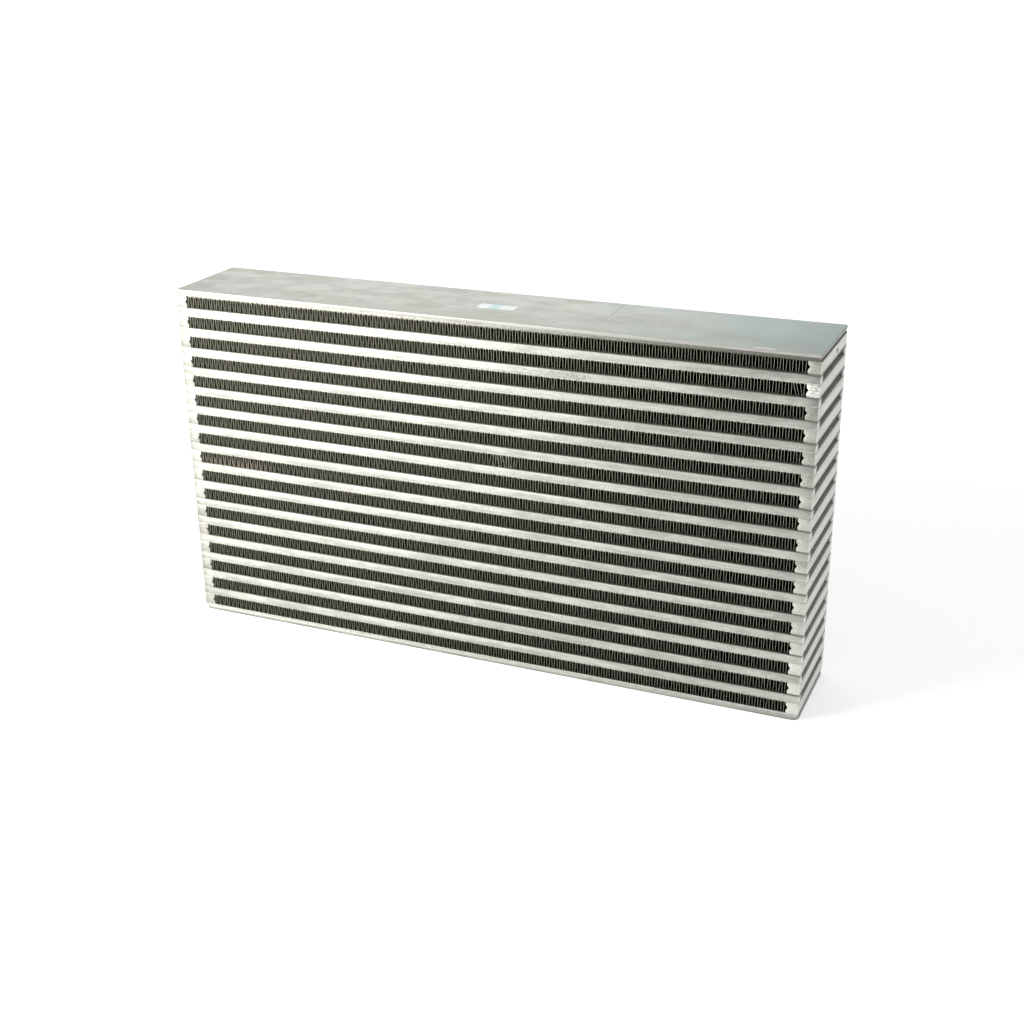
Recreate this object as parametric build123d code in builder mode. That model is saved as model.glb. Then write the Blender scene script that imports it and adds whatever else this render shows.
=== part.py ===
"""Bar-and-plate intercooler core: the brazed aluminium block without its end tanks.

Cooling rows, open from front to back, alternate with charge rows, open from left to
right. X runs along the core, Y through it from front to back, and Z up the stack.
The origin is the middle of the underside. All sizes are in millimetres.
"""

import os
from math import sqrt

from build123d import *

# Outline of the core
core_length = 558.8
core_depth = 88.9

# The stack, from the outside in
cover_thickness = 2.8
top_cover_corner_radius = 1.0
bottom_cover_corner_radius = 6.0
side_sheet_thickness = 2.5
side_sheet_setback = 0.8
cooling_rows = 17
cooling_row_height = 10.1
charge_row_height = 6.35
parting_sheet_thickness = 0.6

# End bars, which close the left and right ends of each cooling row
end_bar_width = 10.3
end_bar_groove_depth = 1.8
end_bar_groove_mouth = 4.0
end_bar_nose_bevel = 0.7

# Long bars, which close the front and back of each charge row
long_bar_width = 6.0

# Folded fins. Some walls that lie next to each other are drawn as one thicker wall
# with the same metal: one wall a group gives every fold of the real sheet.
fin_sheet_thickness = 0.2
cooling_fin_wall_pitch = 2.35
cooling_walls_in_group = 3
charge_fin_wall_pitch = 2.55
charge_walls_in_group = 2
cooling_fin_setback = 0.6
charge_fin_setback = 2.0
fin_side_clearance = 0.4

# Blank label on the top cover
label_length = 33.0
label_width = 12.0
label_thickness = 0.15
label_x = 4.0
label_y = -2.0

# Heights of the stack, from the underside
charge_rows = cooling_rows - 1
row_pitch = cooling_row_height + charge_row_height + 2 * parting_sheet_thickness
first_row_floor = cover_thickness + side_sheet_thickness
cooling_floors = [first_row_floor + row * row_pitch for row in range(cooling_rows)]
cooling_ceilings = [floor + cooling_row_height for floor in cooling_floors]
charge_floors = [
    ceiling + parting_sheet_thickness for ceiling in cooling_ceilings[:charge_rows]
]
charge_ceilings = [floor + charge_row_height for floor in charge_floors]
top_side_sheet_floor = cooling_ceilings[-1]
top_cover_floor = top_side_sheet_floor + side_sheet_thickness
core_height = top_cover_floor + cover_thickness

# Room between the bars
cooling_fin_length = core_length - 2 * (end_bar_width + fin_side_clearance)
charge_fin_width = core_depth - 2 * (long_bar_width + fin_side_clearance)


def folded_strip(width, height, wall_pitch, walls_in_group):
    """Outline of a strip folded into a zigzag, centred on x = 0, from z = 0 up.

    The folds just reach z = 0 and z = height. The upper edge is the lower edge
    lifted by the wall's thickness measured straight up, so all walls are alike.
    """
    walls = max(2, round(width / (wall_pitch * walls_in_group)))
    step = width / walls
    thickness = fin_sheet_thickness * walls_in_group
    reach = step * sqrt(step**2 + height**2 - thickness**2)
    lift = thickness * (reach - thickness * height) / (step**2 - thickness**2)
    folds = [
        (fold * step - width / 2, (height - lift) * (fold % 2))
        for fold in range(walls + 1)
    ]
    return folds + [(x, z + lift) for x, z in reversed(folds)]


def grooved_bar_section(inward):
    """End bar's section: outer face on x = 0, with its grooved nose inward of it.

    inward is 1 for a nose towards +x and -1 for a nose towards -x.
    """
    middle = cooling_row_height / 2
    bevel = end_bar_nose_bevel
    section = [
        (0, 0),
        (end_bar_width - bevel, 0),
        (end_bar_width, bevel),
        (end_bar_width, middle - end_bar_groove_mouth / 2),
        (end_bar_width - end_bar_groove_depth, middle),
        (end_bar_width, middle + end_bar_groove_mouth / 2),
        (end_bar_width, cooling_row_height - bevel),
        (end_bar_width - bevel, cooling_row_height),
        (0, cooling_row_height),
    ]
    return [(inward * x, z) for x, z in section[::inward]]


def cover(floor, corner_radius):
    """A cover plate over the whole outline of the core."""
    with BuildPart() as plate:
        with BuildSketch(Plane.XY.offset(floor)):
            RectangleRounded(core_length, core_depth, corner_radius)
        extrude(amount=cover_thickness)
    return plate


def side_sheet(floor):
    """The thick sheet between a cover and the outermost cooling row."""
    with BuildPart() as sheet:
        with BuildSketch(Plane.XY.offset(floor)):
            Rectangle(
                core_length - 2 * side_sheet_setback,
                core_depth - 2 * side_sheet_setback,
            )
        extrude(amount=side_sheet_thickness)
    return sheet


def parting_sheets(floors):
    """Thin sheets between cooling and charge rows, one on each floor given."""
    middles = [(0, 0, floor + parting_sheet_thickness / 2) for floor in floors]
    with BuildPart() as sheets:
        with Locations(*middles):
            Box(core_length, core_depth, parting_sheet_thickness)
    return sheets


def cooling_fin(floor):
    """A fin whose walls run from front to back."""
    outline = folded_strip(
        cooling_fin_length,
        cooling_row_height,
        cooling_fin_wall_pitch,
        cooling_walls_in_group,
    )
    with BuildPart() as fin:
        with BuildSketch(Plane.XZ):
            with Locations((0, floor)):
                Polygon(*outline, align=None)
        extrude(amount=core_depth / 2 - cooling_fin_setback, both=True)
    return fin


def charge_fin(floor):
    """A fin whose walls run from left to right."""
    outline = folded_strip(
        charge_fin_width,
        charge_row_height,
        charge_fin_wall_pitch,
        charge_walls_in_group,
    )
    with BuildPart() as fin:
        with BuildSketch(Plane.YZ):
            with Locations((0, floor)):
                Polygon(*outline, align=None)
        extrude(amount=core_length / 2 - charge_fin_setback, both=True)
    return fin


def end_bars(outer_x, inward):
    """The bars at one end of the core, one for each cooling row."""
    feet = [(outer_x, floor) for floor in cooling_floors]
    with BuildPart() as bars:
        with BuildSketch(Plane.XZ):
            with Locations(*feet):
                Polygon(*grooved_bar_section(inward), align=None)
        extrude(amount=core_depth / 2, both=True)
    return bars


def long_bars(floor):
    """The front and back bars of one charge row."""
    middle_y = (core_depth - long_bar_width) / 2
    middle_z = floor + charge_row_height / 2
    with BuildPart() as bars:
        with BuildSketch(Plane.YZ):
            with Locations((-middle_y, middle_z), (middle_y, middle_z)):
                Rectangle(long_bar_width, charge_row_height)
        extrude(amount=core_length / 2, both=True)
    return bars


def blank_label():
    """A label with nothing on it, stuck to the top cover."""
    with BuildPart() as label:
        with BuildSketch(Plane.XY.offset(core_height)):
            with Locations((label_x, label_y)):
                Rectangle(label_length, label_width)
        extrude(amount=label_thickness)
    return label


def save(piece, name):
    """Names a finished piece and writes it."""
    piece.part.label = name
    export_step(piece.part, f"parts/{name}.step")


def main():
    """Builds and writes every piece of the core."""
    os.makedirs("parts", exist_ok=True)

    save(cover(0, bottom_cover_corner_radius), "bottom_cover")
    save(side_sheet(cover_thickness), "bottom_side_sheet")
    save(side_sheet(top_side_sheet_floor), "top_side_sheet")
    save(cover(top_cover_floor, top_cover_corner_radius), "top_cover")
    save(blank_label(), "label")

    save(end_bars(-core_length / 2, 1), "left_end_bars")
    save(end_bars(core_length / 2, -1), "right_end_bars")
    save(parting_sheets(cooling_ceilings[:charge_rows]), "lower_parting_sheets")
    save(parting_sheets(charge_ceilings), "upper_parting_sheets")

    for row, floor in enumerate(cooling_floors, start=1):
        save(cooling_fin(floor), f"cooling_fin_{row:02d}")
    for row, floor in enumerate(charge_floors, start=1):
        save(charge_fin(floor), f"charge_fin_{row:02d}")
        save(long_bars(floor), f"long_bars_{row:02d}")


main()
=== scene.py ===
"""Dresses the intercooler core and sets up its camera, light and floor.

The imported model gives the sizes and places. Fins, bars, covers and the label are
modelled here in finer detail, each inside the outline of the solid it stands for.
All lengths are in metres, with +X to the core's right end and +Z up.
"""

import logging
import math
import random
from dataclasses import dataclass
from enum import Enum

import bmesh
import bpy
from bmesh.types import BMEdge, BMesh, BMVert
from bpy.types import ID, Material, NodeSocket, Object
from mathutils import Matrix, Vector


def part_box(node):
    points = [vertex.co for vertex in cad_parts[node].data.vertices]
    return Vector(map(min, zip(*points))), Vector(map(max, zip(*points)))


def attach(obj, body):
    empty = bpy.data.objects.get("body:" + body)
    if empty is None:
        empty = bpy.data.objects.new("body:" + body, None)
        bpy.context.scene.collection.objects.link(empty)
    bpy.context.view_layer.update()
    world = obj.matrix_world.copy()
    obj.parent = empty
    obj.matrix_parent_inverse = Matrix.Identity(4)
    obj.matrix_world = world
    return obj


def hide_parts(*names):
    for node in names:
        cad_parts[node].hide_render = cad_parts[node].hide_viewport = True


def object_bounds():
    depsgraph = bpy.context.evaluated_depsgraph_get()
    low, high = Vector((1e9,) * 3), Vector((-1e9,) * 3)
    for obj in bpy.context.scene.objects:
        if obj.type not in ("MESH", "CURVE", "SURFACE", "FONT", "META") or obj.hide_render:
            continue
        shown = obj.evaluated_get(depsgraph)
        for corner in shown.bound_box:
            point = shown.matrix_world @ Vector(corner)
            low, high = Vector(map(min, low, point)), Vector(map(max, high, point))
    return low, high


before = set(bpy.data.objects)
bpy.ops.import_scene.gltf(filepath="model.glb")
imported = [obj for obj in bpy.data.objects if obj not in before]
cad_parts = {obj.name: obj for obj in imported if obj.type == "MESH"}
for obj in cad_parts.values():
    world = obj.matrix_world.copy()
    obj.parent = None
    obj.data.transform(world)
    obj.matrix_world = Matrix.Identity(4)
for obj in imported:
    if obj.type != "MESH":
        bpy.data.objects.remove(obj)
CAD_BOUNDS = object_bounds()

LOG = logging.getLogger("core")
MM = 0.001
SHARP_FOLD = math.radians(60)
SHARP_EDGE = math.radians(35)
LEVEL = 0.01 * MM
BLACK = (0.0, 0.0, 0.0)
WHITE = (1.0, 1.0, 1.0)

Colour = tuple[float, float, float]
Point = tuple[float, float, float]
Span = tuple[float, float]


def mm(*lengths: float) -> tuple[float, ...]:
    """Lengths given in millimetres, in metres."""
    return tuple(length * MM for length in lengths)


def nodes_of(stem: str) -> list[str]:
    """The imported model's nodes whose names start with the stem, from the bottom row up."""
    return sorted(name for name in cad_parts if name.startswith(stem))


class Stack:
    """The core's outline and the places of its cooling rows."""

    def __init__(self, low: Vector, high: Vector) -> None:
        """Reads the rows' places.

        Args:
            low: The core's lowest corner.
            high: Its highest corner.
        """
        self.low, self.high = low, high
        self.half_length = (high.x - low.x) / 2
        self.half_depth = (high.y - low.y) / 2
        self.rows = [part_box(node) for node in nodes_of("cooling_fin_")]
        middles = [(floor.z + ceiling.z) / 2 for floor, ceiling in self.rows]
        self.first_middle = middles[0]
        self.pitch = middles[1] - middles[0]
        self.row_height = self.rows[0][1].z - self.rows[0][0].z


# ---------------- materials


class Value:
    """A number that varies over a surface. Arithmetic on it adds Math nodes."""

    def __init__(self, finish: "NodeFinish", socket: NodeSocket) -> None:
        """Wraps an output socket of the finish's node tree."""
        self.finish = finish
        self.socket = socket

    def _math(self, operation: str, *terms: "Term") -> "Value":
        """Adds one Math node on the terms given."""
        return self.finish.node("ShaderNodeMath", {"operation": operation}, dict(enumerate(terms)))

    def __add__(self, other: "Term") -> "Value":
        """self + other."""
        return self._math("ADD", self, other)

    __radd__ = __add__

    def __sub__(self, other: "Term") -> "Value":
        """self - other."""
        return self._math("SUBTRACT", self, other)

    def __rsub__(self, other: "Term") -> "Value":
        """other - self."""
        return self._math("SUBTRACT", other, self)

    def __mul__(self, other: "Term") -> "Value":
        """self * other."""
        return self._math("MULTIPLY", self, other)

    __rmul__ = __mul__

    def __abs__(self) -> "Value":
        """The value without its sign."""
        return self._math("ABSOLUTE", self)

    def repeated(self, period: float) -> "Value":
        """The value folded into a band of one period round zero."""
        return self._math("WRAP", self, period / 2, -period / 2)

    def rising(self, low: float, high: float) -> "Value":
        """A mask that goes smoothly from 0 at low to 1 at high, which may be below low."""
        ends = {"Value": self, "From Min": low, "From Max": high}
        return self.finish.node("ShaderNodeMapRange", {"interpolation_type": "SMOOTHSTEP"}, ends)


Term = Value | float
Paint = Value | Colour


class NodeFinish:
    """The node tree of one material, built up by expressions."""

    def __init__(self, name: str) -> None:
        """Starts an empty material.

        Args:
            name: The material's name.
        """
        self.material = bpy.data.materials.new(name)
        self.material.use_nodes = True
        self.tree = self.material.node_tree
        self.tree.nodes.clear()

    def node(
        self, kind: str, settings: dict[str, object], inputs: dict[int | str, object], output: int | str = 0
    ) -> Value:
        """Adds a node.

        Args:
            kind: The node's type.
            settings: Its properties, set first.
            inputs: A value or a link for each socket named or numbered.
            output: The socket that the result reads.

        Returns:
            The chosen output.
        """
        made = self.tree.nodes.new(kind)
        for key, setting in settings.items():
            setattr(made, key, setting)
        for key, term in inputs.items():
            if isinstance(term, Value):
                self.tree.links.new(term.socket, made.inputs[key])
            else:
                made.inputs[key].default_value = term
        return Value(self, made.outputs[output])

    def place(self) -> Value:
        """The point on the piece, in the core's own frame."""
        return self.node("ShaderNodeTexCoord", {}, {}, "Object")

    def axes(self) -> list[Value]:
        """The X, Y and Z of that point."""
        split = self.node("ShaderNodeSeparateXYZ", {}, {0: self.place()})
        return [Value(self, output) for output in split.socket.node.outputs]

    def mapped(self, shift: Point, size: Point) -> Value:
        """The point in steps of size along each axis, moved by shift steps."""
        scale = tuple(1 / length for length in size)
        return self.node("ShaderNodeMapping", {}, {"Vector": self.place(), "Location": shift, "Scale": scale})

    def distance(self, centre: Point, reach: Point) -> Value:
        """How far a point lies from a centre, as a share of the reach along each axis."""
        near = self.mapped(tuple(-place / length for place, length in zip(centre, reach)), reach)
        return self.node("ShaderNodeVectorMath", {"operation": "LENGTH"}, {0: near}, "Value")

    def grain(self, size: Point, detail: float, seed: float) -> Value:
        """Noise near 0.5 with spots of that size, in that many finer layers, moved by the seed."""
        moved = self.mapped((seed, seed, seed), size)
        return self.node("ShaderNodeTexNoise", {}, {"Vector": moved, "Scale": 1.0, "Detail": detail})

    def blend(self, mask: Term, low: Paint, high: Paint) -> Value:
        """A colour that follows a mask.

        Args:
            mask: How much of the second colour shows, from 0 to 1.
            low: The colour where the mask is 0.
            high: The colour where it is 1.

        Returns:
            The blended colour.
        """
        ends = [c if isinstance(c, Value) else (*c, 1.0) for c in (low, high)]
        settings = {"data_type": "RGBA", "clamp_factor": True}
        return self.node("ShaderNodeMix", settings, {0: mask, 6: ends[0], 7: ends[1]}, output=2)

    def layered(self, base: Paint, *layers: tuple[Term, Paint]) -> Paint:
        """A colour with others laid over it.

        Args:
            base: The colour underneath.
            layers: The mask and the colour of each layer, from the lowest up.

        Returns:
            The colour that shows.
        """
        for mask, colour in layers:
            base = self.blend(mask, base, colour)
        return base

    def relief(self, height: Value, depth: float, strength: float = 1.0) -> dict[str, Value]:
        """The Normal input that follows a height pattern of that depth."""
        inputs = {"Strength": strength, "Distance": depth, "Height": height}
        return {"Normal": self.node("ShaderNodeBump", {}, inputs)}

    def surface(self, colour: Paint, metallic: Term, roughness: Term, more: dict[str, Term]) -> Material:
        """Ends the material with a Principled shader.

        Args:
            colour: Its base colour.
            metallic: Its share of metal.
            roughness: Its roughness.
            more: Its other inputs, by name.

        Returns:
            The finished material.
        """
        sockets = {"Base Color": colour, "Metallic": metallic, "Roughness": roughness, **more}
        return self.output(self.node("ShaderNodeBsdfPrincipled", {}, sockets))

    def output(self, shader: Value) -> Material:
        """Ends the material with a shader.

        Args:
            shader: What its surface shows.

        Returns:
            The finished material.
        """
        end = self.tree.nodes.new("ShaderNodeOutputMaterial")
        self.tree.links.new(shader.socket, end.inputs["Surface"])
        return self.material


@dataclass(frozen=True)
class ExtrudedBar:
    """Satin extruded bar with lengthwise lines, specks of dirt, a greyer right end, painted shade that greys
    its right half towards the upper rows, and a painted highlight on its right corner.
    """

    stack: Stack
    first_middle: float
    bar_height: float
    light: Colour = (0.66, 0.66, 0.605)
    dull: Colour = (0.43, 0.43, 0.395)
    grey: Colour = (0.27, 0.275, 0.26)
    corner_highlight: Colour = (0.88, 0.88, 0.84)
    speck: Colour = (0.14, 0.135, 0.115)
    seam: Colour = (0.08, 0.078, 0.066)
    seam_width: float = 0.6 * MM
    grey_reach: float = 14 * MM
    left_darkening_width: float = 6 * MM
    highlight_width: float = 0.7 * MM
    painted_dimming: Span = (0.07, 0.3)
    line_size: Point = mm(60, 60, 0.5)
    patch_size: Point = mm(34, 20, 5)
    blotch_size: Point = mm(9, 9, 4)
    speck_size: Point = mm(1.1, 0.8, 0.6)
    dusty: Point = mm(75, -44, 266)
    dusty_reach: Point = mm(45, 20, 9)
    marks: tuple[tuple[Point, Point], ...] = (
        (mm(-223.9, -44, 160.6), mm(1.4, 10, 0.9)),
        (mm(-206, -44, 142.6), mm(4, 10, 0.7)),
    )

    def build(self) -> Material:
        """Makes the material.

        Returns:
            The finish of the long bars.
        """
        f = NodeFinish("extruded_bar")
        x, _, z = f.axes()
        lines = f.grain(self.line_size, 3.0, 3.1)
        patches = f.grain(self.patch_size, 2.0, 7.7)
        blotches = f.grain(self.blotch_size, 3.0, 1.9)
        grit = f.grain(self.speck_size, 1.0, 5.2)
        right, left = self.stack.half_length, -self.stack.half_length
        dust = f.distance(self.dusty, self.dusty_reach).rising(1.0, 0.3)
        specks = (grit + 0.1 * dust + 0.08 * blotches.rising(0.5, 0.65)).rising(0.69, 0.76)
        wear = (0.6 * patches + 0.4 * blotches + 0.3 * lines + 0.35 * (grit - 0.5)).rising(0.48, 0.84)
        ends = (x + 12 * MM * (patches - 0.5)).rising(right - self.grey_reach, right)
        grey = 0.1 + 0.6 * ends + 0.35 * blotches.rising(0.4, 0.6)
        corner = x.rising(right - self.highlight_width, right - 0.5 * self.highlight_width)
        # Darker towards the left end.
        left_darkening = (x + 10 * MM * (blotches - 0.5)).rising(left + self.left_darkening_width, left)
        level = (z - self.first_middle).repeated(self.stack.pitch)
        level = level + 0.6 * MM * (blotches - 0.5) + 0.9 * MM * ends
        edge = self.bar_height / 2
        seam = level.rising(edge - self.seam_width, edge - 0.3 * self.seam_width)
        strength = 0.15 + 0.3 * x.rising(left, left + self.grey_reach)
        strength = strength + 0.35 * x.rising(left, 0.0) - 0.35 * ends
        spots = [f.distance(centre, reach) + 1.5 * (grit - 0.5) for centre, reach in self.marks]
        colour = f.layered(
            f.blend(wear, self.dull, self.light),
            # Greyer right end; the same grey spreads over the right half as painted shade that grows towards
            # the upper rows.
            (x.rising(0.0, right) * z.rising(*self.painted_dimming) * grey, self.grey),
            # Painted highlight along the right corner.
            (0.8 * corner, self.corner_highlight),
            (0.3 * left_darkening, self.seam),
            (seam * strength, self.seam),
            *((0.55 * spot.rising(1.1, 0.7), self.speck) for spot in spots),
            (0.85 * specks, self.speck),
        )
        return f.surface(colour, 0.8, 0.5 + 0.2 * (0.5 - lines), f.relief(lines, 0.02 * MM))


@dataclass(frozen=True)
class SawnBar:
    """Bar with saw-cut ends that carry painted glints and, at the right end, painted shade on upper rows and
    painted light on lower ones, with satin sides and dark brazed joints.
    """

    stack: Stack
    light: Colour = (0.67, 0.67, 0.61)
    dark: Colour = (0.38, 0.38, 0.34)
    painted_glint: Colour = (0.86, 0.86, 0.82)
    side_light: Colour = (0.82, 0.83, 0.77)
    side_dull: Colour = (0.64, 0.65, 0.60)
    joint: Colour = (0.13, 0.125, 0.105)
    glint_row: int = 15
    pit: Point = mm(0, 9.5, 292)
    pit_reach: Point = mm(1000, 4.2, 2.2)
    painted_dimming: Span = (0.05, 0.3)
    paler: Span = (0.14, 0.03)
    dark_joints: Span = (-0.2, 0.2)
    joint_width: float = 0.3 * MM
    soiled_width: float = 2.2 * MM
    left_darkening_width: float = 6 * MM
    corner_width: float = 0.8 * MM
    end_skin: float = 0.4 * MM
    grit_size: Point = mm(0.75, 0.75, 0.75)
    line_size: Point = mm(0.8, 40, 0.8)
    tone_size: Point = mm(900, 900, 11)

    def build(self) -> Material:
        """Makes the material.

        Returns:
            The finish of the end bars.
        """
        f = NodeFinish("sawn_bar")
        x, y, z = f.axes()
        grit = f.grain(self.grit_size, 2.0, 1.7)
        tone = f.grain(self.tone_size, 0.0, 4.4)
        lines = f.grain(self.line_size, 3.0, 9.3)
        stack = self.stack
        right, left, face = stack.half_length, -stack.half_length, stack.half_depth
        at_right = x.rising(0.0, 1 * MM)
        on_end = abs(y).rising(face - self.end_skin, face - 0.5 * self.end_skin)
        glint_middle = stack.first_middle + self.glint_row * stack.pitch
        near = abs(z - glint_middle).rising(stack.row_height, 0.5 * stack.row_height) * at_right
        painted_dimming = z.rising(*self.painted_dimming) * x.rising(0.0, right)
        left_darkening = (x + 5 * MM * (grit - 0.5)).rising(left + self.left_darkening_width, left)
        corner = x.rising(right - self.corner_width, right - 0.5 * self.corner_width)
        sawn = f.layered(
            f.blend((grit + 0.5 * (tone - 0.5)).rising(0.36, 0.62), self.dark, self.light),
            # Painted glints on one row's sawn faces at the right end.
            (near * grit.rising(0.44, 0.5), self.painted_glint),
            # Painted shade on the upper rows at the right end, and painted light on the lower rows there.
            (0.4 * painted_dimming * (1.0 - near), self.joint),
            (0.4 * z.rising(*self.paler) * at_right, self.painted_glint),
            # Darker towards the left end.
            (0.2 * x.rising(1 * MM, 0.0), self.joint),
            (0.3 * left_darkening, self.joint),
            # Painted highlight along the right corner.
            (0.7 * corner, self.painted_glint),
        )
        height = abs((z - stack.first_middle).repeated(stack.pitch))
        edge = stack.row_height / 2
        soiled = (height + 3 * MM * (grit - 0.5)).rising(edge - self.soiled_width, edge)
        pit = f.distance(self.pit, self.pit_reach) + 1.2 * (grit - 0.5)
        joint = height + 0.9 * MM * (grit - 0.5)
        joint = joint.rising(edge - self.joint_width, edge - 0.3 * self.joint_width)
        colour = f.layered(
            f.blend((lines + 0.6 * (grit - 0.5)).rising(0.35, 0.62), self.side_dull, self.side_light),
            (0.45 * soiled, self.joint),
            (pit.rising(1.1, 0.8) * at_right, self.joint),
            (on_end, sawn),
            (joint * (0.12 + 0.5 * x.rising(*self.dark_joints)), self.joint),
        )
        pattern = grit * on_end + 0.3 * lines * (1.0 - on_end)
        return f.surface(colour, 0.8, 0.46 + 0.3 * (grit - 0.5), f.relief(pattern, 0.08 * MM, 0.8))


@dataclass(frozen=True)
class BrazedSheet:
    """Sheet whose cut edges carry small beads of braze, with painted shade along its edge next to a cooling
    row and towards the right.
    """

    name: str
    corner: Vector
    row_plane: float
    row_pitch: float
    light: Colour = (0.60, 0.60, 0.555)
    dark: Colour = (0.30, 0.30, 0.27)
    paler: Colour = (0.74, 0.735, 0.68)
    painted_shade: Colour = (0.05, 0.049, 0.04)
    joined: Colour = (0.66, 0.66, 0.61)
    joined_length: float = 10.3 * MM
    painted_dimming_weight: float = 0.0
    painted_dimming: Span = (-0.28, 0.11)
    edge_depth: float = 0.15 * MM
    bead_size: Point = mm(1.6, 1.6, 1.2)

    def build(self) -> Material:
        """Makes the material.

        Returns:
            The finish of one kind of sheet.
        """
        f = NodeFinish(self.name)
        x, y, z = f.axes()
        beads = f.grain(self.bead_size, 3.0, 2.3)
        end, face = self.corner.x, self.corner.y
        at_edge = abs(y).rising(face - self.edge_depth, face) + abs(x).rising(end - self.edge_depth, end)
        at_row = abs((z - self.row_plane).repeated(self.row_pitch)).rising(0.3 * MM, 0.1 * MM)
        inner = end - self.joined_length
        cut = f.layered(
            f.blend(beads.rising(0.34, 0.54), self.dark, self.light),
            # Painted shade that darkens the sheet towards the right.
            (self.painted_dimming_weight * x.rising(*self.painted_dimming), self.painted_shade),
            (0.8 * x.rising(-inner, -inner - 1 * MM), self.joined),
            (0.25 * x.rising(inner, inner + 1 * MM), self.joined),
        )
        # At the cut edges: painted shade along the edge next to the row, the paler edge colour elsewhere.
        colour = f.blend(at_edge, f.blend(at_row, self.paler, self.painted_shade), cut)
        return f.surface(colour, 0.8, 0.52 + 0.3 * (beads - 0.5), f.relief(beads, 0.15 * MM, 0.8))


@dataclass(frozen=True)
class MillPlate:
    """Rolled plate in mill finish, clouded by the braze oven and lightly scratched, with a painted contact
    shadow along its lowest rim.
    """

    name: str
    upper_plane: float
    edge: Colour = (0.40, 0.40, 0.37)
    light: Colour = (0.72, 0.725, 0.675)
    cool: Colour = (0.50, 0.54, 0.52)
    warm: Colour = (0.53, 0.525, 0.475)
    teal: Colour = (0.57, 0.67, 0.655)
    # Colour of the painted contact shadow.
    rim: Colour = (0.12, 0.12, 0.105)
    scratch: Colour = (0.9, 0.9, 0.88)
    score: Colour = (0.2, 0.2, 0.18)
    bright_spot: Colour = (0.95, 0.95, 0.88)
    rim_height: float = 0.9 * MM
    bright_spot_place: Point = mm(236, -43, 303)
    bright_spot_reach: Point = mm(10, 3, 3)
    score_place: Span = mm(99, 21.5)
    score_width: float = 0.5 * MM
    score_reach: float = 18 * MM
    teal_end: Span = (0.08, 0.24)
    light_front: Span = mm(-15, -42)
    cloud_size: Point = mm(75, 32, 32)
    stain_size: Point = mm(22, 13, 13)
    roll_size: Point = mm(120, 0.9, 0.9)
    scratch_size: Point = mm(14, 0.5, 14)

    def build(self) -> Material:
        """Makes the material.

        Returns:
            The finish of one cover plate.
        """
        f = NodeFinish(self.name)
        x, y, z = f.axes()
        clouds = f.grain(self.cloud_size, 3.0, 0.6)
        stains = f.grain(self.stain_size, 4.0, 8.2)
        rolled = f.grain(self.roll_size, 2.0, 6.1)
        scratches = f.grain(self.scratch_size, 0.0, 3.9).rising(0.72, 0.78)
        shade = (0.6 * stains + 0.4 * clouds + 0.15 * (rolled - 0.5)).rising(0.4, 0.6)
        far = (x + 0.25 * (clouds - 0.5)).rising(*self.teal_end)
        along = abs(x + 0.02 * y - self.score_place[0]).rising(self.score_width, 0.4 * self.score_width)
        across = abs(y - self.score_place[1]).rising(self.score_reach, 0.9 * self.score_reach)
        bright_spot = f.distance(self.bright_spot_place, self.bright_spot_reach) + 0.8 * (rolled - 0.5)
        top = f.layered(
            f.blend(clouds.rising(0.38, 0.62), self.warm, self.cool),
            (shade, self.light),
            (0.75 * far, self.teal),
            (0.5 * y.rising(*self.light_front), self.light),
            (0.5 * scratches, self.scratch),
            (0.7 * along * across, self.score),
            # A small bright spot near the top's front edge.
            (0.9 * bright_spot.rising(1.1, 0.7), self.bright_spot),
        )
        on_top = z.rising(self.upper_plane - 0.5 * MM, self.upper_plane - 0.1 * MM)
        # Painted contact shadow just above the floor, along the bottom plate's lower rim.
        contact_shadow = (z + 0.6 * MM * (stains - 0.5)).rising(self.rim_height, 0.4 * self.rim_height)
        side = f.blend(0.2 * shade, self.edge, self.light)
        colour = f.layered(side, (on_top, top), (0.85 * contact_shadow, self.rim))
        pattern = rolled + 0.5 * scratches
        return f.surface(colour, 0.9, 0.54 + 0.35 * (stains - 0.5), f.relief(pattern, 0.01 * MM))


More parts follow.
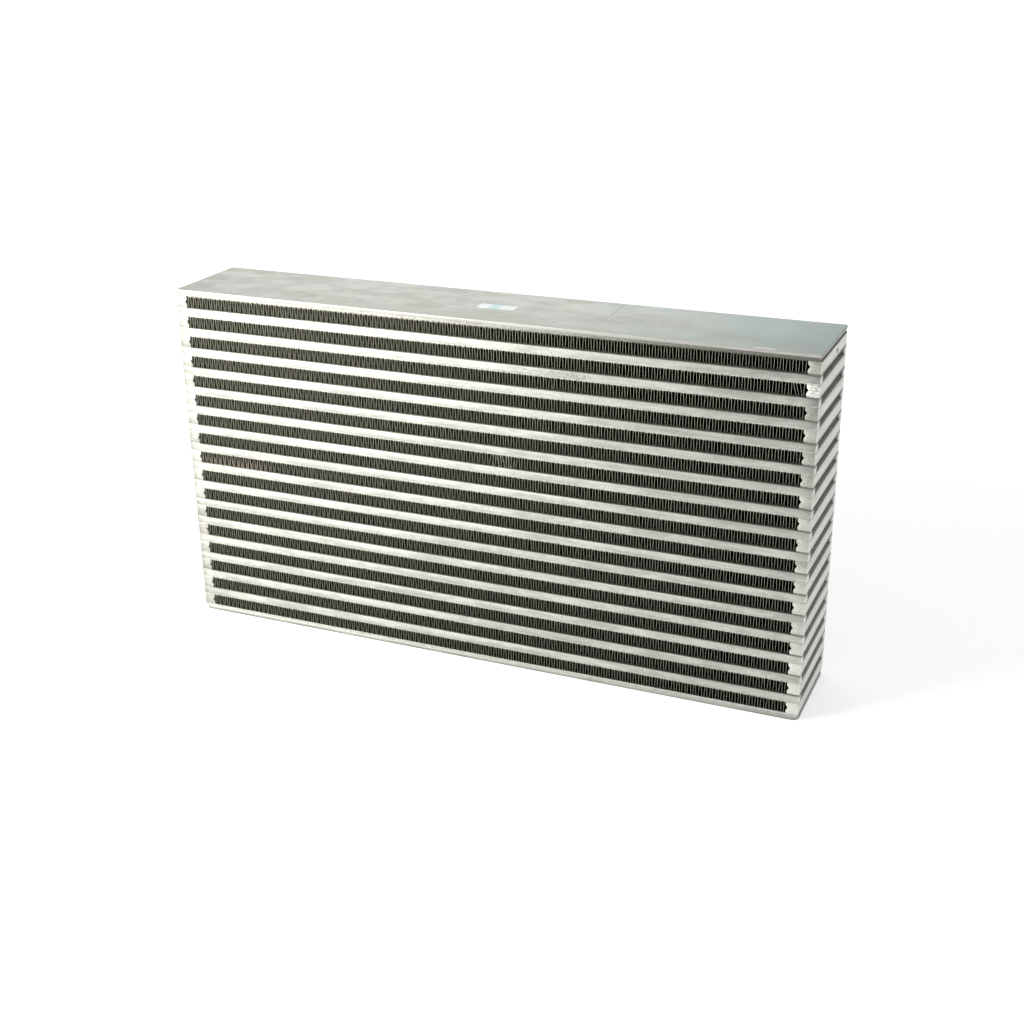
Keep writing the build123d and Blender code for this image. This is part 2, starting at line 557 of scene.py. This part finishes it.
@dataclass(frozen=True)
class FinStock:
    """Thin fin sheet, dull, darkened inside the rows by painted shade, with painted light in some troughs and
    on its upper crests, painted shade on its lower crests, and brighter cut edges.
    """

    name: str
    first: "FinRow"
    row_pitch: float
    half_height: float
    # The default wall colours are painted shade: the cooling fins' sheet is coloured as dark as the shade
    # inside their rows, darkest in its deepest parts.
    dull: Colour = (0.072, 0.071, 0.052)
    light: Colour = (0.19, 0.188, 0.142)
    painted_deep_shade: Colour = (0.007, 0.0068, 0.005)
    edge: Colour = (0.49, 0.485, 0.385)
    lit_upper_edge: Colour = (0.85, 0.84, 0.74)
    shaded_lower_edge: Colour = (0.20, 0.197, 0.15)
    # Colour of the painted light in the troughs, a dust colour, with a golden residue patch beside it.
    dust: Colour = (0.46, 0.455, 0.365)
    residue: Colour = (0.98, 0.80, 0.69)
    residue_place: Point = mm(-235, -42, 149.5)
    residue_reach: Point = mm(52, 12, 6)
    scuffed: Colour = (0.97, 0.96, 0.86)
    scuffed_place: Point = mm(26, -44, 186)
    scuffed_reach: Point = mm(18, 5, 9)
    trough_light_end: Span = (0.07, -0.16)
    dark_end: Span = (-0.2, 0.2)
    darkest_end: Span = (-0.1, 0.1)
    shaded_end: Span = (-0.1, 0.15)
    shaded_height: Span = (0.287, 0.291)
    trough_light_depth: float = 3.5 * MM
    crest_height: float = 1.4 * MM
    crest_fade: float = 0.6 * MM
    edge_depth: float = 0.35 * MM
    unshaded_depth: float = 4.5 * MM
    stain_size: Point = mm(9, 9, 5)
    streak_size: Point = mm(1.1, 6, 6)

    def build(self) -> Material:
        """Makes the material.

        Returns:
            The finish of one kind of fin.
        """
        f = NodeFinish(self.name)
        place = f.axes()
        x, z = place[0], place[2]
        stains = f.grain(self.stain_size, 2.0, 2.8)
        streaks = f.grain(self.streak_size, 2.0, 5.9)
        low, high, half = self.first.low, self.first.high, self.half_height
        run, step = self.first.kind.folds.run, self.first.kind.folds.step
        face, pitch = high[run], 2 * self.first.pitch
        depth = abs(place[run])
        level = (z - (low.z + high.z) / 2).repeated(self.row_pitch)
        beside = (place[step] - (low[step] + self.first.kind.sheet / 2)).repeated(pitch)
        trough = beside.rising(0.05 * pitch, -0.05 * pitch)
        mouth = depth.rising(face - self.trough_light_depth, face - 0.3 * self.trough_light_depth)
        sunk = level.rising(0.3 * half, -0.6 * half)
        # Painted light in the lower part of every other channel, near the face and towards the left end.
        trough_light = x.rising(*self.trough_light_end) * mouth * trough * sunk
        residue = f.distance(self.residue_place, self.residue_reach).rising(1.0, 0.5)
        tunnel = level.rising(-0.2 * half, -0.75 * half) * (1.0 - trough)
        # Stained walls, with painted shade that darkens them towards the right.
        wall = f.layered(
            f.blend((0.5 * stains + 0.5 * streaks).rising(0.38, 0.62), self.dull, self.light),
            (0.75 * x.rising(*self.dark_end), self.painted_deep_shade),
        )
        # Painted shade deeper inside the row, painted light in the troughs, then painted shade in the lower
        # half of the other channels.
        wall = f.layered(
            f.blend(depth.rising(face - self.unshaded_depth, face), self.painted_deep_shade, wall),
            (trough_light, f.blend(residue, self.dust, self.residue)),
            ((0.8 + 0.15 * x.rising(*self.darkest_end)) * tunnel, self.painted_deep_shade),
        )
        crest, fade = half - self.crest_height, self.crest_fade
        shaded = z.rising(*self.shaded_height) * x.rising(*self.shaded_end)
        scuffs = f.distance(self.scuffed_place, self.scuffed_reach).rising(1.0, 0.6)
        # Painted highlight on the upper crests' edges, except in the top rows at the right, and painted shade
        # on the lower crests' edges.
        edge = f.layered(
            self.edge,
            (level.rising(crest, crest + fade), f.blend(0.8 * shaded, self.lit_upper_edge, self.shaded_lower_edge)),
            (level.rising(-crest, -crest - fade), self.shaded_lower_edge),
            (0.7 * scuffs * streaks.rising(0.42, 0.55), self.scuffed),
            (0.45 * residue, self.residue),
        )
        colour = f.blend(depth.rising(face - self.edge_depth, face), wall, edge)
        metallic = 0.8 - 0.8 * residue * trough_light
        return f.surface(colour, metallic, 0.5 + 0.3 * (stains - 0.5), f.relief(streaks, 0.03 * MM))


@dataclass(frozen=True)
class BrazeStain:
    """Dull grey braze with stains of flux, and painted shade on the fillets below each row's middle."""

    stack: Stack
    dull: Colour = (0.042, 0.0415, 0.031)
    light: Colour = (0.125, 0.123, 0.096)
    painted_shade: Colour = (0.016, 0.0155, 0.0125)
    stain_size: Point = mm(1.8, 1.8, 1.8)

    def build(self) -> Material:
        """Makes the material.

        Returns:
            The finish of the fillets.
        """
        f = NodeFinish("braze_stain")
        stains = f.grain(self.stain_size, 2.0, 7.3)
        level = (f.axes()[2] - self.stack.first_middle).repeated(self.stack.pitch)
        shade = f.blend(stains.rising(0.36, 0.62), self.dull, self.light)
        # Painted shade on the fillets below each row's middle.
        colour = f.blend(0.85 * level.rising(1 * MM, -1 * MM), shade, self.painted_shade)
        return f.surface(colour, 0.7, 0.5 + 0.3 * (stains - 0.5), f.relief(stains, 0.1 * MM, 0.6))


@dataclass(frozen=True)
class LabelFilm:
    """White film with a pale field across its middle and slightly soiled edges."""

    low: Vector
    high: Vector
    field_place: float = 0.46
    field_share: float = 0.27
    white: Colour = (0.91, 0.96, 0.97)
    soiled: Colour = (0.80, 0.86, 0.87)
    tint: Colour = (0.48, 0.74, 0.76)
    soil_size: Point = mm(5, 2, 2)

    def build(self) -> Material:
        """Makes the material.

        Returns:
            The finish of the label.
        """
        f = NodeFinish("label_film")
        length = self.high.x - self.low.x
        centre, width = self.low.x + self.field_place * length, self.field_share * length
        soil = f.grain(self.soil_size, 3.0, 4.1)
        inside = abs(f.axes()[0] - centre).rising(0.55 * width, 0.45 * width)
        paper = f.blend(soil.rising(0.35, 0.55), self.soiled, self.white)
        colour = f.blend(0.85 * inside, paper, self.tint)
        return f.surface(colour, 0.4, 0.35 + 0.2 * soil, {"Coat Weight": 0.5})


@dataclass(frozen=True)
class PaleFloor:
    """Plain white floor that stays white to the camera and keeps a soft shadow."""

    colour: Colour = (0.85, 0.85, 0.85)
    near_lift: float = 0.56
    far_lift: float = 0.68
    fade: Span = (0.5, 2.0)
    rays: tuple[str, ...] = ("Camera", "Glossy", "Transmission")

    def build(self) -> Material:
        """Makes the material.

        Returns:
            The finish of the floor.
        """
        f = NodeFinish("pale_floor")
        camera, glossy, through = (
            f.node("ShaderNodeLightPath", {}, {}, f"Is {ray} Ray") for ray in self.rays
        )
        away = f.distance(BLACK, WHITE).rising(*self.fade)
        lift = (self.near_lift + (self.far_lift - self.near_lift) * away) * (camera + glossy + through)
        matt = f.node("ShaderNodeBsdfDiffuse", {}, {"Color": (*self.colour, 1.0)})
        glow = f.node("ShaderNodeEmission", {}, {"Color": f.blend(lift, BLACK, WHITE)})
        return f.output(f.node("ShaderNodeAddShader", {}, {0: matt, 1: glow}))


# ---------------- shaping


def link(name: str, data: ID) -> Object:
    """Puts a new object into the scene and reports it.

    Args:
        name: The object's name.
        data: Its mesh, lamp or camera.

    Returns:
        The object.
    """
    thing = bpy.data.objects.new(name, data)
    bpy.context.scene.collection.objects.link(thing)
    LOG.info("%s: %s", name, thing.type.lower())
    return thing


def settle(
    name: str, shape: BMesh, material: Material, stands_for: list[str], smooth_below: float = 0.0
) -> Object:
    """Turns a finished shape into a piece of the core.

    Args:
        name: The piece's name.
        shape: Its mesh, which is freed.
        material: Its finish.
        stands_for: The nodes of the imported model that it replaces.
        smooth_below: Faces that meet at less than this angle are shaded smooth.

    Returns:
        The new object, at the origin.
    """
    bmesh.ops.recalc_face_normals(shape, faces=shape.faces)
    for face in shape.faces:
        face.smooth = smooth_below > 0
    for edge in shape.edges:
        edge.smooth = edge.is_manifold and edge.calc_face_angle() < smooth_below
    mesh = bpy.data.meshes.new(name)
    shape.to_mesh(mesh)
    shape.free()
    mesh.materials.append(material)
    piece = link(name, mesh)
    if stands_for:
        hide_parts(*stands_for)
    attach(piece, "root")
    return piece


def dress(node: str, material: Material) -> None:
    """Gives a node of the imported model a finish, with its shape as it is.

    Args:
        node: The node's name.
        material: The finish.
    """
    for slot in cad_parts[node].material_slots:
        slot.material = material
    LOG.info("%s: dressed", node)


def soften(shape: BMesh, edges: list[BMEdge], radius: float, segments: int) -> None:
    """Rounds edges of a shape.

    Args:
        shape: The shape.
        edges: The edges to round.
        radius: Their new radius.
        segments: The faces across each rounding.
    """
    bmesh.ops.bevel(
        shape, geom=edges, offset=radius, offset_type="OFFSET", clamp_overlap=True,
        affect="EDGES", segments=segments, profile=0.5, material=-1,
    )


def block(shape: BMesh, low: Vector, high: Vector) -> None:
    """Adds a box between two corners to a shape."""
    move = Matrix.Translation((low + high) / 2) @ Matrix.Diagonal((*(high - low), 1.0))
    bmesh.ops.create_cube(shape, size=1.0, matrix=move)


def rise_of(edge: BMEdge) -> float:
    """How far an edge climbs from one end to the other."""
    return abs(edge.verts[0].co.z - edge.verts[1].co.z)


def corners_in(geometry: list[object]) -> list[BMVert]:
    """The corners among what an operator made."""
    return [item for item in geometry if isinstance(item, BMVert)]


def add_shape(whole: BMesh, part: BMesh) -> None:
    """Adds one shape to another.

    Args:
        whole: The shape that grows.
        part: The shape that it takes in, which is freed.
    """
    mesh = bpy.data.meshes.new("part")
    bmesh.ops.recalc_face_normals(part, faces=part.faces)
    part.to_mesh(mesh)
    part.free()
    whole.from_mesh(mesh)
    bpy.data.meshes.remove(mesh)


class Folds(Enum):
    """The axis along which a fin's walls run, and the one that its folds step along."""

    FRONT_TO_BACK = (1, 0)
    LEFT_TO_RIGHT = (0, 1)

    @property
    def run(self) -> int:
        """The axis along which each wall runs."""
        return self.value[0]

    @property
    def step(self) -> int:
        """The axis along which the folds follow each other."""
        return self.value[1]


@dataclass(frozen=True)
class Bend:
    """A few walls that were pushed over by handling, at the front of one row."""

    row: int
    at: float
    reach: float
    lean: float


@dataclass
class FoldedFins:
    """Fins of one kind: thin sheet folded to and fro, with round crests."""

    node_stem: str
    piece_stem: str
    folds: Folds
    slot: str
    wall_pitch: float
    bends: tuple[Bend, ...] = ()
    sheet: float = 0.2 * MM
    crest_share: float = 0.44
    drift: float = 0.1 * MM
    ruffle: float = 0.08 * MM
    bend_depth: float = 6 * MM
    depth_stops: tuple[float, ...] = (0.0, 0.02, 0.5, 0.98, 1.0)
    steps_a_wall: int = 6

    def rows(self) -> list["FinRow"]:
        """The rows that these fins fill, from the bottom up."""
        return [FinRow(self, number, node) for number, node in enumerate(nodes_of(self.node_stem), start=1)]

    def build(self, material: Material) -> None:
        """Makes and dresses every fin of this kind.

        Args:
            material: The fins' finish.
        """
        for row in self.rows():
            name = f"{self.piece_stem}_{row.number:02d}"
            piece = settle(name, row.folded(), material, [row.node], SHARP_FOLD)
            wall = piece.modifiers.new("sheet", "SOLIDIFY")
            wall.thickness = self.sheet
            wall.offset = 0.0


class FinRow:
    """The fin of one row: its room, its walls, and how far they stray from even steps."""

    def __init__(self, kind: FoldedFins, number: int, node: str) -> None:
        """Divides the room into walls and draws their unevenness, the same each time.

        Args:
            kind: The kind of fin.
            number: The row's number, from the bottom up.
            node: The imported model's node that the fin stands for.
        """
        self.kind, self.number, self.node = kind, number, node
        self.low, self.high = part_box(node)
        length = (self.high - self.low)[kind.folds.step] - kind.sheet
        self.walls = round(length / kind.wall_pitch)
        self.pitch = length / self.walls
        chance = random.Random(f"{kind.piece_stem} {number}")
        self.crests = [chance.gauss(0, kind.drift) for _ in range(self.walls + 1)]
        self.crests[0] = self.crests[-1] = 0.0
        self.twists = [[chance.gauss(0, 0.4 * kind.drift) for _ in kind.depth_stops] for _ in self.crests]
        self.bows = [chance.gauss(0, kind.ruffle) for _ in self.crests]

    def folded(self) -> BMesh:
        """Folds a flat grid into the fin.

        Returns:
            The folded sheet, without thickness.
        """
        kind, low, high = self.kind, self.low, self.high
        run, steps = kind.folds.run, kind.steps_a_wall
        columns, stops = self.walls * steps, len(kind.depth_stops) - 1
        shape = bmesh.new()
        bmesh.ops.create_grid(shape, x_segments=columns, y_segments=stops, size=0.5)
        for vert in shape.verts:
            stop = round((vert.co.y + 0.5) * stops)
            wall, place = divmod(round((vert.co.x + 0.5) * columns), steps)
            along, up = self.profile(place)
            along += self.shift(wall, place / steps, stop)
            depth = low[run] + kind.depth_stops[stop] * (high[run] - low[run])
            height = (low.z + high.z) / 2 + (up if wall % 2 else -up)
            vert.co = self.placed(wall * self.pitch + along, depth, height)
        return shape

    def profile(self, place: int) -> Span:
        """One point of a wall that comes down from an upper crest to a lower one.

        Args:
            place: The point's number, from 0 at the crest.

        Returns:
            The distance along from the crest, and the height above the fin's middle.
        """
        pitch, radius = self.pitch, self.kind.crest_share * self.pitch
        top = (self.high.z - self.low.z - self.kind.sheet) / 2
        slope = math.sqrt(0.5) * radius
        return (
            (0.0, top),
            (slope, top - radius + slope),
            (radius, top - radius),
            (pitch / 2, 0.0),
            (pitch - radius, radius - top),
            (pitch - slope, radius - top - slope),
        )[place]

    def shift(self, wall: int, share: float, stop: int) -> float:
        """How far the unevenness moves one point of the sheet.

        Args:
            wall: The wall's number.
            share: How far the point is from the wall's first crest to its last.
            stop: The stop's number, from the front.

        Returns:
            The move along the row, which leaves both ends of the sheet nearly in place.
        """
        last = min(wall + 1, self.walls)
        first_end, last_end = (self.crests[k] + self.twists[k][stop] for k in (wall, last))
        outermost = stop in (0, len(self.kind.depth_stops) - 1)
        bow = self.bows[wall] * 4 * share * (1 - share) * (1 if outermost else 0.4)
        return first_end * (1 - share) + last_end * share + bow

    def placed(self, along: float, depth: float, height: float) -> Vector:
        """Puts a point of the sheet in place, pushed over where the row is bent.

        Args:
            along: The point's distance along the row.
            depth: Its coordinate along the walls.
            height: Its height.

        Returns:
            The point, inside the room.
        """
        step, half = self.kind.folds.step, self.kind.sheet / 2
        spot = Vector((0, 0, height))
        spot[self.kind.folds.run] = depth
        spot[step] = self.low[step] + half + along
        spot[step] += self.lean(spot)
        spot[step] = min(max(spot[step], self.low[step] + half), self.high[step] - half)
        return spot

    def lean(self, spot: Vector) -> float:
        """How far a point was pushed over by the bends in the row.

        Args:
            spot: The point, before the push.

        Returns:
            The push along the row, which fades from the front edge inwards.
        """
        low, high, folds = self.low, self.high, self.kind.folds
        up = (spot.z - low.z) / (high.z - low.z) - 0.5
        depth = math.exp(-(spot[folds.run] - low[folds.run]) / self.kind.bend_depth)
        push = 0.0
        for bend in self.kind.bends:
            if bend.row == self.number:
                near = max(0.0, 1 - abs(spot[folds.step] - bend.at) / bend.reach)
                push -= bend.lean * near * up * depth
        return push


@dataclass
class BrazeFillets:
    """Braze that fills the corners between a fin's crests and the sheets, at one face."""

    fins: FoldedFins
    name: str
    back: bool
    setback: float = 0.03 * MM
    depth: float = 1.2 * MM
    sag: float = 0.6
    columns_a_wall: int = 3

    def build(self, material: Material) -> None:
        """Makes and dresses the fillets of every row at this face, as one piece.

        Args:
            material: The braze's finish.
        """
        whole = bmesh.new()
        for row in self.fins.rows():
            for upper in (False, True):
                add_shape(whole, self.band(row, upper))
        settle(self.name, whole, material, [])

    def band(self, row: FinRow, upper: bool) -> BMesh:
        """The scalloped band along the crests at one side of a row.

        Args:
            row: The row's fin.
            upper: Whether the band hangs from the sheet above the row.

        Returns:
            The band, with a lip that runs into the row.
        """
        inward = -1 if self.back else 1
        face = (row.high.y if self.back else row.low.y) + inward * self.setback
        stop = len(self.fins.depth_stops) - 1 if self.back else 0
        columns = row.walls * self.columns_a_wall
        shape = bmesh.new()
        bmesh.ops.create_grid(shape, x_segments=columns, y_segments=1, size=0.5)
        rim = [edge for edge in shape.edges if max(v.co.y for v in edge.verts) < 0]
        for vert in shape.verts:
            wall, place = divmod(round((vert.co.x + 0.5) * columns), self.columns_a_wall)
            along, drop = self.scallop(place, (wall % 2 == 1) == upper, row.pitch)
            drop = drop if vert.co.y < 0 else 0.0
            height = row.high.z - drop if upper else row.low.z + drop
            along += row.shift(wall, along / row.pitch, stop)
            vert.co = row.placed(wall * row.pitch + along, face, height)
        lip = corners_in(bmesh.ops.extrude_edge_only(shape, edges=rim)["geom"])
        bmesh.ops.translate(shape, verts=lip, vec=(0, inward * self.depth, 0))
        return shape

    def scallop(self, place: int, from_crest: bool, pitch: float) -> Span:
        """One point of the band's free edge.

        Args:
            place: The point's number along the wall, from 0.
            from_crest: Whether the wall starts at a crest on the band's side.
            pitch: The distance between walls.

        Returns:
            The distance along the wall's step, and the distance from the sheet.
        """
        radius = self.fins.crest_share * pitch
        shoulder = (0.6 * radius, 0.2 * radius)
        knots = ((0.0, 0.0), shoulder, (radius, 0.75 * radius), (pitch, self.sag * radius))
        if from_crest:
            return knots[place]
        along, drop = knots[self.columns_a_wall - place]
        return pitch - along, drop


@dataclass
class EndBars:
    """The bars at one end of the core, which close its cooling rows."""

    node: str
    name: str
    outer: float
    inward: int
    rows: list[tuple[Vector, Vector]]
    groove_depth: float = 1.8 * MM
    groove_mouth: float = 4.0 * MM
    lip_radius: float = 1.0 * MM
    edge_radius: float = 0.22 * MM
    sharp_corner: float = math.radians(40)
    most_sunk: float = 0.25 * MM
    side_share: float = 0.6

    def build(self, material: Material) -> None:
        """Makes and dresses the bars, as one piece.

        Args:
            material: The bars' finish.
        """
        low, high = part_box(self.node)
        chance = random.Random(self.name)
        whole = bmesh.new()
        for floor, ceiling in self.rows:
            front, back, side = (chance.uniform(0, self.most_sunk) for _ in range(3))
            ends = (low.y + front, high.y - back)
            bar = self.bar(high.x - low.x, (floor.z, ceiling.z), ends, self.side_share * side)
            add_shape(whole, bar)
        settle(self.name, whole, material, [self.node], SHARP_EDGE)

    def bar(self, width: float, levels: Span, ends: Span, sunk: float) -> BMesh:
        """Pushes a grooved section from front to back.

        Args:
            width: The bar's width, from its outer side to its lips.
            levels: The heights of its underside and its upper side.
            ends: Where its front end and its back end are.
            sunk: How far its outer side lies inside the core's end.

        Returns:
            The bar.
        """
        floor, ceiling = levels
        middle, half_mouth = (floor + ceiling) / 2, self.groove_mouth / 2
        section = (
            (sunk, floor), (width, floor), (width, middle - half_mouth), (width - self.groove_depth, middle),
            (width, middle + half_mouth), (width, ceiling), (sunk, ceiling),
        )
        bar = bmesh.new()
        corners = [bar.verts.new((self.outer + self.inward * x, ends[0], z)) for x, z in section]
        pushed = bmesh.ops.extrude_face_region(bar, geom=[bar.faces.new(corners)])
        bmesh.ops.translate(bar, verts=corners_in(pushed["geom"]), vec=(0, ends[1] - ends[0], 0))
        soften(bar, [e for e in bar.edges if self.is_lip(e, width)], self.lip_radius, 3)
        sharp = [e for e in bar.edges if e.is_manifold and e.calc_face_angle() > self.sharp_corner]
        soften(bar, sharp, self.edge_radius, 2)
        return bar

    def is_lip(self, edge: BMEdge, width: float) -> bool:
        """Whether an edge runs from front to back along the nose of a bar of that width."""
        first, last = (v.co for v in edge.verts)
        return abs(first.y - last.y) > 10 * rise_of(edge) and abs(first.x - self.outer) > width - 0.1 * MM


@dataclass
class LongBars:
    """The pairs of bars that close the front and the back of the charge rows."""

    node_stem: str = "long_bars_"
    bar_width: float = 6.0 * MM
    edge_radius: float = 0.2 * MM
    most_sunk: float = 0.12 * MM

    def build(self, material: Material) -> None:
        """Makes and dresses every pair.

        Args:
            material: The bars' finish.
        """
        for node in nodes_of(self.node_stem):
            name = f"long_bar_pair_{node.removeprefix(self.node_stem)}"
            low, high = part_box(node)
            chance = random.Random(node)
            pair = bmesh.new()
            sunk = [Vector((0, chance.uniform(0, self.most_sunk), 0)) for _ in range(2)]
            inner = Vector((0, self.bar_width, 0))
            across = Vector((high.x - low.x, 0, high.z - low.z))
            block(pair, low + sunk[0], low + inner + across)
            block(pair, high - inner - across, high - sunk[1])
            soften(pair, list(pair.edges), self.edge_radius, 2)
            settle(name, pair, material, [node], SHARP_EDGE)


@dataclass
class Plate:
    """A flat piece with rounded corners: a cover with slightly broken edges, or the label."""

    node: str
    name: str
    slot: str
    corner_radius: float
    corner_segments: int = 8
    edge_radius: float = 0.3 * MM
    square_corner: float = math.radians(60)

    def build(self, material: Material) -> None:
        """Makes and dresses the plate.

        Args:
            material: The plate's finish.
        """
        plate = bmesh.new()
        block(plate, *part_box(self.node))
        upright = [e for e in plate.edges if rise_of(e) > LEVEL]
        soften(plate, upright, self.corner_radius, self.corner_segments)
        if self.edge_radius > 0:
            level = [e for e in plate.edges if rise_of(e) < LEVEL]
            soften(plate, [e for e in level if e.calc_face_angle() > self.square_corner], self.edge_radius, 2)
        settle(self.name, plate, material, [self.node], SHARP_EDGE)


# ---------------- the whole core


@dataclass
class Core:
    """The whole core, built up from its sub-assemblies."""

    stack: Stack
    bend_inset: float = 17 * MM

    def build(self) -> None:
        """Makes and dresses every piece, from the fins outwards."""
        self.add_cooling_fins()
        self.add_charge_fins()
        self.add_bars()
        self.dress_sheets()
        self.add_plates()

    def add_cooling_fins(self) -> None:
        """Makes the fins that run from front to back, with the braze along their crests."""
        stack = self.stack
        bends = (
            Bend(16, stack.half_length - self.bend_inset, *mm(5, 3.5)),
            Bend(11, *mm(15, 4, -2.2)),
            Bend(11, *mm(25, 6, 2)),
            Bend(11, *mm(36, 4, -1.8)),
            Bend(10, *mm(15, 3.5, 2.4)),
        )
        fins = FoldedFins(
            "cooling_fin_", "cooling_folds", Folds.FRONT_TO_BACK, "cooling_fin", 2.35 * MM, bends
        )
        fins.build(FinStock("cooling_stock", fins.rows()[0], stack.pitch, stack.row_height / 2).build())
        stain = BrazeStain(stack).build()
        BrazeFillets(fins, "front_fillets", back=False).build(stain)
        BrazeFillets(fins, "back_fillets", back=True).build(stain)

    def add_charge_fins(self) -> None:
        """Makes the fins that run from left to right, which are paler and carry far less painted shade."""
        fins = FoldedFins("charge_fin_", "charge_folds", Folds.LEFT_TO_RIGHT, "charge_fin", 2.55 * MM)
        stock = FinStock(
            "charge_stock", fins.rows()[0], self.stack.pitch, self.stack.row_height / 4,
            dust=(0.82, 0.82, 0.76), dull=(0.66, 0.66, 0.6), light=(0.82, 0.82, 0.76), painted_deep_shade=(0.5, 0.5, 0.45),
            lit_upper_edge=(0.6, 0.6, 0.55), shaded_lower_edge=(0.5, 0.5, 0.45), unshaded_depth=14 * MM,
        )
        fins.build(stock.build())

    def add_bars(self) -> None:
        """Makes the end bars and the long bars."""
        stack = self.stack
        sawn = SawnBar(stack).build()
        EndBars("left_end_bars", "left_bars", stack.low.x, 1, stack.rows).build(sawn)
        EndBars("right_end_bars", "right_bars", stack.high.x, -1, stack.rows).build(sawn)
        low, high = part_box("long_bars_01")
        LongBars().build(ExtrudedBar(stack, (low.z + high.z) / 2, high.z - low.z).build())

    def dress_sheets(self) -> None:
        """Dresses the sheets between the rows and those beside the covers."""
        floor, ceiling = (corner.z for corner in self.stack.rows[0])
        last_ceiling = self.stack.rows[-1][1].z
        # Painted shade darkens the lying sheets and the side sheet under the top cover; the side sheet above
        # the bottom cover is the paler copy, with painted light.
        lying = {"light": (0.30, 0.297, 0.26), "dark": (0.12, 0.118, 0.1), "painted_dimming_weight": 0.85}
        side = {"bead_size": mm(3, 3, 0.8), "joined_length": 0.0}
        shaded = {"light": (0.48, 0.475, 0.43), "dark": (0.26, 0.257, 0.23)}
        shaded |= {"painted_dimming_weight": 0.72, "painted_dimming": (-0.1, 0.26)}
        paler = {"light": (0.64, 0.64, 0.6), "dark": (0.45, 0.45, 0.41), "painted_dimming_weight": 0.08}
        for node, name, plane, look in (
            ("lower_parting_sheets", "hanging_sheet", ceiling, {}),
            ("upper_parting_sheets", "shaded_lying_sheet", floor, lying),
            ("top_side_sheet", "shaded_side_sheet", last_ceiling, side | shaded),
            ("bottom_side_sheet", "lit_side_sheet", floor, side | paler),
        ):
            dress(node, BrazedSheet(name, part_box(node)[1], plane, self.stack.pitch, **look).build())

    def add_plates(self) -> None:
        """Makes both cover plates and the label."""
        top = MillPlate("top_plate", self.stack.high.z)
        bottom = MillPlate("bottom_plate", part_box("bottom_cover")[1].z, edge=(0.36, 0.36, 0.33))
        film = LabelFilm(*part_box("label"))
        Plate("top_cover", "top_plate", "cover_plate", 1.0 * MM).build(top.build())
        Plate("bottom_cover", "bottom_plate", "cover_plate", 6.0 * MM).build(bottom.build())
        label = Plate("label", "label_film", "label", 1.2 * MM, corner_segments=4, edge_radius=0.0)
        label.build(film.build())


# ---------------- floor, light, camera


@dataclass(frozen=True)
class Lamp:
    """One soft square lamp: where it hangs, the point it faces, and its light."""

    name: str
    spot: Point
    aim: Point
    size: float
    power: float
    tint: Colour

    def build(self) -> None:
        """Hangs the lamp."""
        light = bpy.data.lights.new(self.name, "AREA")
        light.size = self.size
        light.energy = self.power
        light.color = self.tint
        lamp = link(self.name, light)
        lamp.location = self.spot
        lamp.rotation_euler = (Vector(self.aim) - Vector(self.spot)).to_track_quat("-Z", "Y").to_euler()


@dataclass(frozen=True)
class Studio:
    """A plain floor, soft lamps and an even sky."""

    floor_reach: float = 30.0
    sky: float = 0.42
    sky_colour: Colour = (0.97, 1.0, 0.99)
    lamps: tuple[Lamp, ...] = (
        Lamp("key", (-0.75, -0.8, 0.5), (-0.27, -0.05, 0.14), 0.6, 14.5, (1.0, 0.985, 0.94)),
        Lamp("back", (-0.85, 1.75, 1.2), (-0.1, 0.0, 0.3), 1.7, 9.0, (1.0, 0.995, 0.97)),
    )

    def build(self) -> None:
        """Makes the floor, the sky and the lamps."""
        self.add_floor()
        self.add_sky()
        for lamp in self.lamps:
            lamp.build()

    def add_floor(self) -> None:
        """Lays a wide floor just under the core."""
        shape = bmesh.new()
        bmesh.ops.create_grid(shape, x_segments=1, y_segments=1, size=self.floor_reach)
        mesh = bpy.data.meshes.new("floor")
        shape.to_mesh(mesh)
        shape.free()
        mesh.materials.append(PaleFloor().build())
        link("floor", mesh)

    def add_sky(self) -> None:
        """Gives an even white light from all round."""
        world = bpy.data.worlds.new("sky")
        world.use_nodes = True
        background = world.node_tree.nodes["Background"]
        background.inputs["Color"].default_value = (*self.sky_colour, 1.0)
        background.inputs["Strength"].default_value = self.sky
        bpy.context.scene.world = world
        LOG.info("sky: strength %.2f", self.sky)


@dataclass(frozen=True)
class Camera:
    """The camera, to the right of the core and a little above it."""

    place: Point = (0.48977, -1.09708, 0.61203)
    azimuth: float = 23.453
    elevation: float = 22.216
    roll: float = -0.688
    lens: float = 52.966
    sensor: float = 36.0

    def build(self) -> None:
        """Places the camera and makes it the scene's own."""
        data = bpy.data.cameras.new("camera")
        data.sensor_fit = "HORIZONTAL"
        data.sensor_width = self.sensor
        data.lens = self.lens
        camera = link("camera", data)
        turn = (
            Matrix.Rotation(math.radians(self.azimuth), 4, "Z")
            @ Matrix.Rotation(math.radians(90 - self.elevation), 4, "X")
            @ Matrix.Rotation(math.radians(self.roll), 4, "Z")
        )
        camera.matrix_world = Matrix.Translation(self.place) @ turn
        bpy.context.scene.camera = camera


def main() -> None:
    """Builds the camera, the studio and the core, in that order."""
    logging.basicConfig(level=logging.INFO, format="%(name)s %(message)s")
    bpy.context.scene.view_settings.view_transform = "Standard"
    Camera().build()
    Studio().build()
    Core(Stack(*CAD_BOUNDS)).build()


if __name__ == "__main__":
    main()
